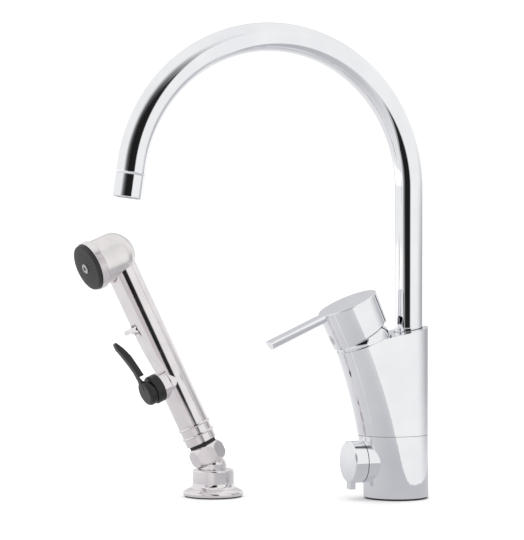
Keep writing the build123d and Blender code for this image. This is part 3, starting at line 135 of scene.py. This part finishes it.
def new_material(name, **sockets):
    """A material with a Principled shader, whose sockets are set directly."""
    material = bpy.data.materials.new(name)
    material.use_nodes = True
    shader = material.node_tree.nodes["Principled BSDF"]
    for socket, value in sockets.items():
        shader.inputs[socket.replace("_", " ")].default_value = value
    return material, material.node_tree, shader


print("a middle grey in linear light", [round(v, 3) for v in linear("#808080")])

# %% [markdown]
# ## One recipe for a worked surface
# No surface here is one flat colour. Polishing leaves a plated casting slightly
# wavy, a lathe leaves metal a little uneven, and a mould gives plastic a fine grain.
# In each case the colour, the blur and the relief follow the same grain, whose size
# is a real one in millimetres. So one soft noise on object coordinates feeds all
# three, and each finish below only names its colours, its grain and its relief. The
# noise seldom leaves the range from 0.3 to 0.7, so this range is stretched to the
# whole way from the darker colour to the lighter one.

# %% Recipe for worked surfaces
NOISE_LOW = 0.3
NOISE_HIGH = 0.7


def worked_surface(name, dark, light, grain_mm, relief_mm, roughness, detail=1.0, **sockets):
    """One noise, a wave every grain_mm, blends dark to light, the two roughnesses and the relief."""
    material, tree, shader = new_material(name, **sockets)
    place = add_node(tree, "ShaderNodeTexCoord")
    noise = add_node(tree, "ShaderNodeTexNoise", {
        "Vector": place.outputs["Object"], "Scale": 1 / (grain_mm * MM), "Detail": detail,
    })
    share = add_node(tree, "ShaderNodeMapRange", {
        "Value": noise.outputs["Fac"], "From Min": NOISE_LOW, "From Max": NOISE_HIGH,
    })
    colour = mixed_colour(tree, share.outputs["Result"], dark, light)
    blur = add_node(tree, "ShaderNodeMapRange", {
        "Value": share.outputs["Result"], "To Min": roughness[0], "To Max": roughness[1],
    })
    bump = add_node(tree, "ShaderNodeBump", {
        "Height": noise.outputs["Fac"], "Strength": 1.0, "Distance": relief_mm * MM,
    })
    tree.links.new(colour, shader.inputs["Base Color"])
    tree.links.new(blur.outputs["Result"], shader.inputs["Roughness"])
    tree.links.new(bump.outputs["Normal"], shader.inputs["Normal"])
    return material


# %% [markdown]
# ## Chromium plate
# The mixer is cast and turned brass, polished on a wheel, then plated with nickel
# and a fraction of a micron of chromium: a blue-white mirror with hardly any blur,
# and a waviness a few centimetres long, a hundredth of a millimetre deep, that makes
# a reflected edge swim. The spray is plated plastic, a little warmer and softer, and
# its head is plated over a finely blasted mould, so it shows one broad highlight.

# %% Plated finishes
chrome = worked_surface(
    "chromium_plate_wheel_polished", "#eff0f3", "#f4f5f7", grain_mm=22, relief_mm=0.010,
    roughness=(0.030, 0.050), Metallic=1.0)
spray_chrome = worked_surface(
    "chromium_plate_on_plastic", "#e6e1e3", "#eeeaea", grain_mm=14, relief_mm=0.010,
    roughness=(0.090, 0.130), Metallic=1.0)
head_chrome = worked_surface(
    "chromium_plate_satin", "#e6e2e1", "#eeebea", grain_mm=9, relief_mm=0.006,
    roughness=(0.22, 0.28), Metallic=1.0)
print("plated finishes:", chrome.name, spray_chrome.name, head_chrome.name)

# %% [markdown]
# ## Bare metals
# Inside and under the faucet the metals keep their own colour: yellow free-cutting
# brass as the lathe leaves it, pink drawn copper, and grey stainless steel. They
# scatter light much more than the plate, because nobody polishes what isn't seen.

# %% Bare metals
brass = worked_surface(
    "free_cutting_brass_turned", "#cba867", "#e0c283", grain_mm=2.5, relief_mm=0.006,
    roughness=(0.22, 0.34), detail=3.0, Metallic=1.0)
copper = worked_surface(
    "copper_tube_drawn", "#c67b53", "#dd9369", grain_mm=6, relief_mm=0.006,
    roughness=(0.24, 0.36), Metallic=1.0)
steel = worked_surface(
    "stainless_steel_turned", "#aeadab", "#c2c1bf", grain_mm=1.5, relief_mm=0.004,
    roughness=(0.20, 0.30), detail=3.0, Metallic=1.0)
print("bare metals:", brass.name, copper.name, steel.name)

# %% [markdown]
# ## Plastics, rubber, ceramic and enamel
# The trigger and its ring are black plastic from a spark-eroded mould, whose fine
# grain turns a highlight into a soft sheen. The spray face is a softer dark grey,
# speckled, because it is rubbery and is rubbed clean of lime. The parts that only
# show from below are acetal, nitrile rubber and lapped ceramic. The hot and cold
# marks are two drops of glossy enamel.

# %% Plastics, rubber, ceramic and enamel
black_plastic = worked_surface(
    "abs_moulded_black", "#0d0c0c", "#141314", grain_mm=0.9, relief_mm=0.012,
    roughness=(0.28, 0.40), detail=2.0)
face_plastic = worked_surface(
    "spray_face_dark_grey", "#171516", "#2c292b", grain_mm=1.3, relief_mm=0.020,
    roughness=(0.42, 0.55), detail=4.0)
white_plastic = worked_surface(
    "acetal_moulded_white", "#e4e3de", "#ecebe6", grain_mm=1.2, relief_mm=0.010,
    roughness=(0.38, 0.48))
grey_plastic = worked_surface(
    "abs_moulded_grey", "#b3b4b6", "#bfc0c2", grain_mm=1.2, relief_mm=0.008,
    roughness=(0.30, 0.42))
ceramic = worked_surface(
    "alumina_lapped", "#eae5da", "#f2ede4", grain_mm=0.8, relief_mm=0.002,
    roughness=(0.14, 0.22))
rubber = worked_surface(
    "nitrile_rubber_moulded", "#191818", "#222121", grain_mm=1.0, relief_mm=0.020,
    roughness=(0.60, 0.75), detail=2.0)
red_enamel = worked_surface(
    "enamel_red", "#b5222a", "#c42d34", grain_mm=0.5, relief_mm=0.002, roughness=(0.25, 0.35))
blue_enamel = worked_surface(
    "enamel_blue", "#25539c", "#2e60ad", grain_mm=0.5, relief_mm=0.002, roughness=(0.25, 0.35))
print("plastics:", black_plastic.name, face_plastic.name, white_plastic.name, grey_plastic.name)
print("the rest:", ceramic.name, rubber.name, red_enamel.name, blue_enamel.name)

# %% [markdown]
# ## Which part wears which finish
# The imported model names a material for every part: chrome, brass, rubber and so on.
# A part of the mixer named chrome is plated brass. A part named chrome that moves
# with the spray is plated plastic, and so is the holder that the spray stands in,
# which is fixed to the worktop. The spray face gets its own dark grey.

# %% Give each carried-over node its finish
finish_of_slot = {
    "chrome": chrome, "satin_chrome": head_chrome, "brass": brass, "copper": copper, "steel": steel,
    "ceramic": ceramic, "white_plastic": white_plastic, "grey_plastic": grey_plastic,
    "black_plastic": black_plastic, "rubber": rubber,
}
finish_of_node = {"spray_base": spray_chrome, "spray_face": face_plastic}
PLATED_PLASTIC_BODIES = ("spray_socket", "handset", "trigger", "catch")
slot_of_node = {part["node"]: part["material_slot"] for part in frame["record"]["subparts"]}
body_of_node = {
    node: body for body, members in frame["record"]["behaviour"]["bodies"].items() for node in members
}
for name, node in nodes.items():
    finish = finish_of_slot[slot_of_node[name]]
    if finish is chrome and body_of_node[name] in PLATED_PLASTIC_BODIES:
        finish = spray_chrome
    node.data.materials.clear()
    node.data.materials.append(finish_of_node.get(name, finish))
print(len(nodes), "carried-over nodes have a finish")

# %% [markdown]
# ## Surfaces from formulas
# A piece with a smooth formula is better built from it than from facets. Each one
# here is a grid of points, row by row and column by column. The same function turns
# every grid into a closed mesh: columns always close on themselves, and rows either
# close too, as on a ring, or end in a single pole point at each end.

# %% Grid to mesh
def surface(name, points, finish, body, poles=None):
    """Quads between grid points (rows, columns, 3); columns wrap; rows wrap too, or end in two poles."""
    rows, columns = points.shape[:2]
    number = np.arange(rows * columns).reshape(rows, columns)
    lower, upper = (number, np.roll(number, -1, 0)) if poles is None else (number[:-1], number[1:])
    quads = np.stack([lower, np.roll(lower, -1, 1), np.roll(upper, -1, 1), upper], -1)
    faces = quads.reshape(-1, 4).tolist()
    vertices = points.reshape(-1, 3)
    if poles is not None:
        first, last = rows * columns, rows * columns + 1
        bottom = np.stack([np.full(columns, first), np.roll(number[0], -1), number[0]], -1)
        top = np.stack([np.full(columns, last), number[-1], np.roll(number[-1], -1)], -1)
        faces += bottom.tolist() + top.tolist()
        vertices = np.vstack([vertices, poles])
    mesh = bpy.data.meshes.new(name)
    mesh.from_pydata(vertices.tolist(), [], faces)
    mesh.polygons.foreach_set("use_smooth", np.ones(len(faces), bool))
    mesh.materials.append(finish)
    piece = bpy.data.objects.new(name, mesh)
    bpy.context.scene.collection.objects.link(piece)
    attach(piece, body)
    print(name, len(vertices), "points", len(faces), "faces")
    return piece


# %% [markdown]
# ## The spout
# The spout is drawn brass tube, 22 mm across with a wall of 1.5 mm, bent on a round
# former: a straight riser, a round arc of nearly half a turn, and a short straight
# end. A bent tube is one circle carried along that path, so the mesh is exactly
# that, out along the outer skin and back along the bore, so both ends are real rings.

# %% Spout tube along its path
TUBE_R = 11.0
TUBE_BORE = 9.5
LIP_BEVEL = 0.15            # taken off the tube's outer edge at both ends
SPOUT_Y = 11.0              # the riser stands behind the foot's centre
RISER_LOW = 125.3
ARC_R = 116.8
ARC_Z = 244.6
ARC_TURN = 171.7            # degrees
OUTLET_Z = 236.4            # middle of the outlet's end, with its sleeve on
SLEEVE_LONG = 17.4


def spout_path(turn_steps=200, riser_steps=12, outlet_steps=3):
    """Points and headings: up the riser, then (R - R cos a, Z + R sin a) for a from 0 to the arc's turn."""
    end = np.radians(ARC_TURN)
    turned = np.linspace(0, end, turn_steps)
    riser = np.stack([np.zeros(riser_steps), np.linspace(RISER_LOW, ARC_Z, riser_steps + 1)[:-1]], -1)
    arc = np.stack([ARC_R * (1 - np.cos(turned)), ARC_Z + ARC_R * np.sin(turned)], -1)
    heading = np.array([np.sin(end), np.cos(end)])
    straight = (arc[-1, 1] - OUTLET_Z) / -heading[1] - SLEEVE_LONG
    outlet = arc[-1] + heading * np.linspace(0, straight, outlet_steps + 1)[1:, None]
    angle = np.concatenate([np.zeros(riser_steps), turned, np.full(outlet_steps, end)])
    return np.vstack([riser, arc, outlet]), angle


def tube_skin(radius, around=96):
    """Each path point plus radius * (cos b * sideways + sin b * outward), b once round the tube."""
    path, angle = spout_path()
    b = np.linspace(0, 2 * np.pi, around, endpoint=False)[None, :]
    outward = radius * np.sin(b)
    forward = path[:, :1] - outward * np.cos(angle)[:, None]
    height = path[:, 1:] + outward * np.sin(angle)[:, None]
    sideways = radius * np.cos(b) + 0 * forward
    return np.stack([sideways, SPOUT_Y - forward, height], -1) * MM


outer, bore = tube_skin(TUBE_R), tube_skin(TUBE_BORE)
lip = tube_skin(TUBE_R - LIP_BEVEL)
spout = surface(
    "spout_drawn_tube", np.concatenate([lip[:1], outer, lip[-1:], bore[::-1]]), chrome, "spout")
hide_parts("spout_tube")

# %% [markdown]
# ## The spray head's rim
# The rim around the spray face is turned with fine grooves, so that wet fingers can
# grip it. It is one outline turned about the head's axis: the outer side is a plain
# cylinder less a cosine ripple, and the inner side stays straight for the face. The
# head's axis and centre follow from the trigger's joint, so the ring sits exactly
# on its spigot.

# %% Where the spray head stands
TRIGGER_OFF = 24.0 * MM     # the trigger's pivot, away from the handle's axis
TRIGGER_AT = 76.0 * MM      # its station along the handle
HEAD_AT = 185.7 * MM        # the head's

joint_of = {joint["name"]: joint for joint in frame["joints"]}
handle_up = np.array(joint_of["handset_lift"]["axis"])
handle_out = -np.array(joint_of["push_rod_slide"]["axis"])
trigger_pivot = np.array(joint_of["trigger_squeeze"]["pos_m"])
head_centre = trigger_pivot - handle_out * TRIGGER_OFF + handle_up * (HEAD_AT - TRIGGER_AT)
print("head centre", head_centre.round(4), "facing", handle_out.round(3))

# %% Rim ring with grip grooves
RIM_R = 19.9
RIM_BORE = 18.75
RIM_LOW = 18.2
RIM_HIGH = 24.0
SPIGOT_R = 17.5
SPIGOT_END = 21.4
GROOVES = 4
GROOVE_DEEP = 0.34
LOW_BEVEL = 0.6
LOW_KNEE = 0.2
HIGH_BEVEL = 0.4
HIGH_KNEE = (0.12, 0.15)


def turned_ring(outline, centre, axis, across, around=240):
    """Outline points (radius, height): centre + height * axis + radius * (cos b * across + sin b * third)."""
    third = np.cross(axis, across)
    b = np.linspace(0, 2 * np.pi, around, endpoint=False)[None, :, None]
    radius, height = outline[:, 0][:, None, None] * MM, outline[:, 1][:, None, None] * MM
    return centre + height * axis + radius * (np.cos(b) * across + np.sin(b) * third)


def rim_outline(steps=80):
    """Outer side R - d (1 - cos(2 pi n t)) / 2 for t from 0 to 1, then the lip, the bore and the shoulder."""
    t = np.linspace(0, 1, steps)
    height = RIM_LOW + LOW_BEVEL + t * (RIM_HIGH - HIGH_BEVEL - RIM_LOW - LOW_BEVEL)
    radius = RIM_R - GROOVE_DEEP * (1 - np.cos(2 * np.pi * GROOVES * t)) / 2
    side = np.stack([radius, height], -1)
    low_edge = np.array([
        [SPIGOT_R, RIM_LOW], [RIM_R - LOW_BEVEL, RIM_LOW], [RIM_R - LOW_KNEE, RIM_LOW + LOW_KNEE],
    ])
    lip = np.array([
        [RIM_R - HIGH_KNEE[0], RIM_HIGH - HIGH_KNEE[1]], [RIM_R - HIGH_BEVEL, RIM_HIGH], [RIM_BORE, RIM_HIGH],
    ])
    inside = np.array([[RIM_BORE, SPIGOT_END], [SPIGOT_R, SPIGOT_END]])
    return np.vstack([low_edge, side, lip, inside])


rim = surface(
    "rim_with_grooves", turned_ring(rim_outline(), head_centre, handle_out, handle_up),
    spray_chrome, "handset")
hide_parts("rim_ring")

# %% [markdown]
# ## Hot and cold marks
# The plug under the lever's pin carries two short enamel dashes, red for hot and
# blue for cold. Each is a flat drop of enamel on the curved plug: an oval dome, four
# hundredths of a millimetre proud, bent round the cap's cylinder.

# %% Two enamel dashes
LEVER_TILT = np.radians(24.2)   # the cap leans toward the user
PLUG_UP = 21.1              # the plug's middle, up the cap from the lever's pivot
PLUG_FACE_R = 23.94         # its face, from the cap's axis
DASH_LONG = 1.9
DASH_HIGH = 0.55
DASH_PROUD = 0.04
DASH_ASIDE = 1.3            # each dash's middle, beside the plug's
lever_pivot = np.array(joint_of["lever_lift"]["pos_m"])
cap_up = np.array([0, -np.sin(LEVER_TILT), np.cos(LEVER_TILT)])
cap_front = np.array([0, -np.cos(LEVER_TILT), -np.sin(LEVER_TILT)])


def on_cap(x, y, out):
    """Pivot + out (sin(x / R) * right + cos(x / R) * front) + (plug's height + y) * up, on the cap."""
    turned = x / PLUG_FACE_R
    right = (out * np.sin(turned) * MM)[..., None] * np.array([1, 0, 0])
    front = (out * np.cos(turned) * MM)[..., None] * cap_front
    return lever_pivot + right + front + ((PLUG_UP + y) * MM)[..., None] * cap_up


def dash(name, aside, finish, around=40, rings=10):
    """Oval dome bent round the cap: x = L cos v cos u, y = H cos v sin u, radius = R + p sin v."""
    u = np.linspace(0, 2 * np.pi, around, endpoint=False)[None, :]
    v = np.linspace(-np.pi / 2, np.pi / 2, rings + 2)[1:-1][:, None]
    x = aside + DASH_LONG / 2 * np.cos(v) * np.cos(u)
    y = DASH_HIGH / 2 * np.cos(v) * np.sin(u)
    out = PLUG_FACE_R + DASH_PROUD * np.sin(v) + 0 * u
    ends = np.array([PLUG_FACE_R - DASH_PROUD, PLUG_FACE_R + DASH_PROUD])
    poles = on_cap(np.full(2, aside), np.zeros(2), ends)
    return surface(name, on_cap(x, y, out), finish, "lever", poles=poles)


dash("hot_mark", -DASH_ASIDE, red_enamel)
dash("cold_mark", DASH_ASIDE, blue_enamel)

# %% [markdown]
# ## The light
# Chrome shows nothing of its own, only the room, so the room is built with the same
# care as the object. The photograph was taken in a white tent, and then cut out on
# white. The tent is the world's light: a little under white where the chrome
# reflects it, and full white straight from the camera. A broad lamp overhead, which
# the chrome doesn't see, puts a faint shadow round the two feet.

# %% Tent and lamp
WALL_LIGHT = 0.93           # the tent's walls, as the chrome sees them
BACKDROP_LIGHT = 1.1        # the same walls straight from the camera, white as in the cut-out
LAMP_LIGHT = 1.1
LAMP_SPREAD = 1.4           # radians

scene = bpy.context.scene
scene.view_settings.view_transform = "Standard"
world = bpy.data.worlds.new("white_tent")
scene.world = world
world.use_nodes = True
background = world.node_tree.nodes["Background"]
background.inputs["Color"].default_value = linear("#ffffff")
seen_by = add_node(world.node_tree, "ShaderNodeLightPath")
strength = add_node(world.node_tree, "ShaderNodeMapRange", {
    "Value": seen_by.outputs["Is Camera Ray"], "To Min": WALL_LIGHT, "To Max": BACKDROP_LIGHT,
})
world.node_tree.links.new(strength.outputs["Result"], background.inputs["Strength"])

overhead = bpy.data.lights.new("overhead", "SUN")
overhead.energy = LAMP_LIGHT
overhead.angle = LAMP_SPREAD
lamp = bpy.data.objects.new("overhead", overhead)
scene.collection.objects.link(lamp)
lamp.visible_glossy = False
print("tent", WALL_LIGHT, "backdrop", BACKDROP_LIGHT, "lamp", overhead.energy)

# %% [markdown]
# ## Cards and their paper
# A photographer shapes the reflections in chrome with sheets of card. Each card here
# is one flat rectangle that only reflections see, so that it puts no shadow on the
# floor. Its paper shines by itself, in one colour round a chosen point and in
# another further off, because a real sheet is never lit evenly. Places in the studio
# are told as the camera sees them: to the right, toward the camera, and up.

# %% Cards and paper
def studio_point(right, toward, up, start=(0, 0, 0)):
    """start + right * image_right + toward * toward_camera + up * up_axis, in metres."""
    return np.array(start) + image_right * right + toward_camera * toward + up_axis * up


def card(name, centre, across, up, size, paper, glossy_only=True):
    """A flat rectangle: centre + s * across * width / 2 + t * up * height / 2, for s and t of -1 and 1."""
    width, height = size
    across = np.array(across, float) / np.linalg.norm(across)
    up = np.array(up, float) / np.linalg.norm(up)
    corners = np.array([[-1, -1], [1, -1], [1, 1], [-1, 1]]) / 2
    points = np.array(centre) + corners[:, :1] * across * width + corners[:, 1:] * up * height
    mesh = bpy.data.meshes.new(name)
    mesh.from_pydata(points.tolist(), [], [(0, 1, 2, 3)])
    mesh.materials.append(paper)
    sheet = bpy.data.objects.new(name, mesh)
    scene.collection.objects.link(sheet)
    if glossy_only:
        sheet.visible_camera = False
        sheet.visible_diffuse = False
        sheet.visible_shadow = False
    print(name, width, "by", height, "m")


def glowing_paper(name, near_colour, far_colour, point, near, far):
    """Paper that shines by itself: one colour within near metres of a point, another beyond far."""
    material, tree, shader = new_material(name, Base_Color=linear("#000000"), Roughness=1.0)
    place = add_node(tree, "ShaderNodeTexCoord")
    distance = add_node(tree, "ShaderNodeVectorMath", {
        0: place.outputs["Object"], 1: tuple(point)}, operation="DISTANCE")
    share = add_node(tree, "ShaderNodeMapRange", {
        "Value": distance.outputs["Value"], "From Min": near, "From Max": far,
    }, interpolation_type="SMOOTHSTEP")
    colour = mixed_colour(tree, share.outputs["Result"], near_colour, far_colour)
    tree.links.new(colour, shader.inputs["Emission Color"])
    shader.inputs["Emission Strength"].default_value = 1.0
    return material


# %% [markdown]
# ## Floor and table
# The floor is plain white paper and only catches the faint shadow. What the chrome
# sees below itself is another card, a grey table, darker near the faucet where the
# faucet keeps the light off it. Both lie a hair under the feet, so that no face
# shares their plane.

# %% Floor and table
FLOOR_PLACE = (0, 0, -0.4 * MM)
FLOOR_SIZE = (60.0, 60.0)
TABLE_PLACE = (0, 0, -0.2 * MM)
TABLE_SIZE = (3.0, 3.0)
TABLE_DARKEST = (0.16, 0.06, 0.0)

floor_paper = new_material("floor_paper", Base_Color=linear("#fbfbfb"), Roughness=0.9)[0]
card("floor", FLOOR_PLACE, (1, 0, 0), (0, 1, 0), FLOOR_SIZE, floor_paper, glossy_only=False)
table_paper = glowing_paper("table_grey", "#bdbdc1", "#ebebec", TABLE_DARKEST, near=0.05, far=0.62)
card("grey_table", TABLE_PLACE, toward_camera, image_right, TABLE_SIZE, table_paper)

# %% [markdown]
# ## White sheet and shaded wall
# A white sheet stands close on the right, in line with the view, and makes the broad
# bright side of the body. Its far end is in shade, which gives the body and the
# spout their grey right edge. The tent's wall far back on the left is in shade too:
# the flat top of the lever's cap mirrors it, and so it looks evenly grey.

# %% White sheet and shaded wall
SHEET_RIGHT = 0.155
SHEET_SIZE = (1.0, 0.6)
WALL_PLACE = (-0.95, 0.25, 0.50)
WALL_ACROSS = (0.29, 0.957, 0)
WALL_UP = (0.3, -0.09, 0.95)
WALL_SIZE = (1.1, 1.1)

sheet_place = studio_point(SHEET_RIGHT, toward=0.16, up=0.3)
sheet_in_shade = studio_point(SHEET_RIGHT, toward=-0.14, up=0.14)
sheet_paper = glowing_paper("sheet_white", "#b2b2b6", "#f8f8f8", sheet_in_shade, near=0.04, far=0.21)
card("white_sheet", sheet_place, toward_camera, up_axis, SHEET_SIZE, sheet_paper)

shade_paper = glowing_paper("wall_in_shade", "#d2d2d5", "#f0f0f0", WALL_PLACE, near=0.25, far=0.55)
card("shaded_wall", WALL_PLACE, WALL_ACROSS, WALL_UP, WALL_SIZE, shade_paper)

# %% [markdown]
# ## The gap for the camera
# The camera looked in through a dark gap in the tent, and this gap is the black line
# on every upright tube. Round it the tent's cloth hung in shade, which lets the line
# fade out on the bend of the spout. A narrow white baffle stands before the spray
# and hides most of the gap from it, which leaves its handle one thin dark line. It
# is turned edge-on to the mixer, so that the mixer hardly mirrors it.

# %% Camera gap, its halo and the baffle
MM_PER_PIXEL = 0.794
GAP_RIGHT = (IMAGE_CENTRE[0] - AXIS_PIXEL) * MM_PER_PIXEL * MM
GAP_SIZE = (0.42, 0.46)
HALO_SIZE = (1.1, 1.0)
BAFFLE_SIZE = (0.083, 0.26)
BAFFLE_ALONG = 0.035        # its middle, up the handle from the trigger's pivot

gap_place = studio_point(GAP_RIGHT, toward=0.525, up=0.30)
gap_paper = glowing_paper("gap_dark", "#050505", "#1c1c1c", gap_place, near=0.15, far=0.30)
card("camera_gap", gap_place, image_right, up_axis, GAP_SIZE, gap_paper)

halo_darkest = studio_point(-0.10, toward=0, up=0.10, start=gap_place)
halo_place = studio_point(0, toward=0.01, up=0.10, start=halo_darkest)
halo_paper = glowing_paper("gap_shadow", "#3c3c3e", "#ececed", halo_darkest, near=0.16, far=0.60)
card("gap_halo", halo_place, image_right, up_axis, HALO_SIZE, halo_paper)

baffle_across = studio_point(0.83, toward=-0.55, up=0)      # a direction, past the mixer
baffle_place = studio_point(-0.006, toward=0.104, up=0, start=trigger_pivot + handle_up * BAFFLE_ALONG)
baffle_paper = glowing_paper("baffle_white", "#d3ced1", "#e9e6e7", baffle_place, near=0.02, far=0.12)
card("spray_baffle", baffle_place, baffle_across, handle_up, BAFFLE_SIZE, baffle_paper)
